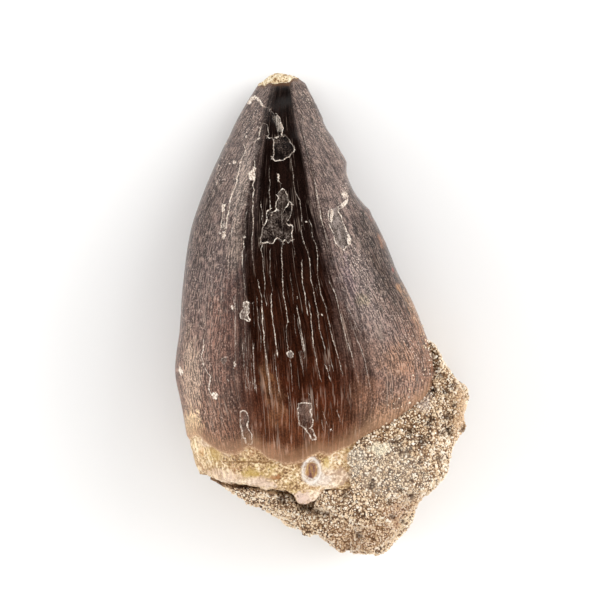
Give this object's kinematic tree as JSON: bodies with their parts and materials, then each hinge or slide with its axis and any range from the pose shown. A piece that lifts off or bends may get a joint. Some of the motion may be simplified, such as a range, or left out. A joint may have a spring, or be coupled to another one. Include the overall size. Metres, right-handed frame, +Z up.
{
  "type": "fossil mosasaur tooth",
  "caption": "Dark glossy fossil reptile tooth crown with a worn tip, lying on its back with its root held in a lump of sandy matrix.",
  "frame": {"origin": "under the middle of the whole fossil's box, on the surface that it lies on", "axes": "+Y from the root to the worn tip, +Z up out of the crown's lip side, +X towards the chipped cutting edge"},
  "size_m": [0.0356, 0.0572, 0.0247],
  "materials": {
    "enamel": "dark brown glossy fossil enamel over an ochre root collar",
    "sandstone": "rough tan phosphate sandstone"
  },
  "bodies": {
    "root": {"tooth": "enamel", "matrix": "sandstone"}
  },
  "joints": []
}
